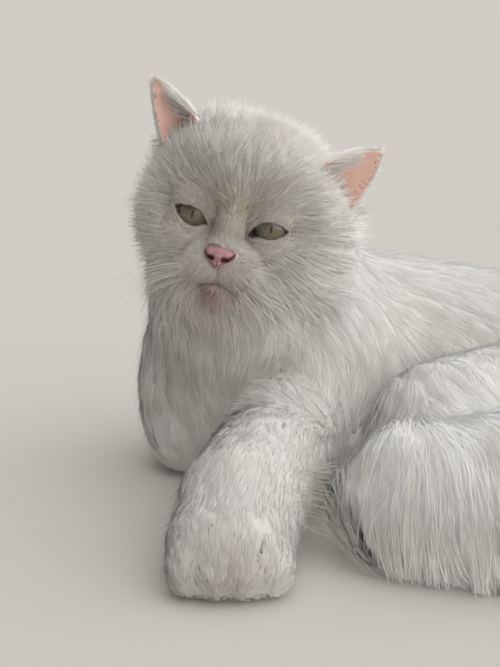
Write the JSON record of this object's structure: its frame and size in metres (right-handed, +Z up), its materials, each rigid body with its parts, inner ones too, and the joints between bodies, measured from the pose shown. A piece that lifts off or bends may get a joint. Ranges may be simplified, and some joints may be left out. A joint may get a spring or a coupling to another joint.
{
  "type": "persian cat model",
  "caption": "Life-size still model of a long-haired white Persian cat lying down with one foreleg stretched out in front.",
  "frame": {"origin": "on the floor, below the middle of the whole model's box", "axes": "+Z up from the floor, +X towards the rump, which is the model's long way, -Y towards the stretched foreleg, the way the cat faces"},
  "size_m": [0.4046, 0.3374, 0.2428],
  "materials": {
    "coat": "long soft white fur with faint warm and grey tones",
    "ear_coat": "thin white fur over pink skin",
    "nose_leather": "fine pebbled pink nose leather, slightly moist",
    "eye": "wet olive-brown iris under a clear cornea, narrow slit pupil"
  },
  "bodies": {
    "root": {"head": "coat", "muzzle": "coat", "chin": "coat", "nose": "nose_leather", "eye_right": "eye", "eye_left": "eye", "ear_right": "ear_coat", "ear_left": "ear_coat", "neck": "coat", "foreleg_left_upper": "coat", "foreleg_left_forearm": "coat", "forepaw_left": "coat", "foreleg_right": "coat", "chest": "coat", "hind_leg_left_thigh": "coat", "hind_leg_left_foot": "coat", "hind_leg_right": "coat", "trunk": "coat", "rump": "coat", "tail_base": "coat", "tail_middle": "coat", "tail_tip": "coat"}
  },
  "joints": []
}
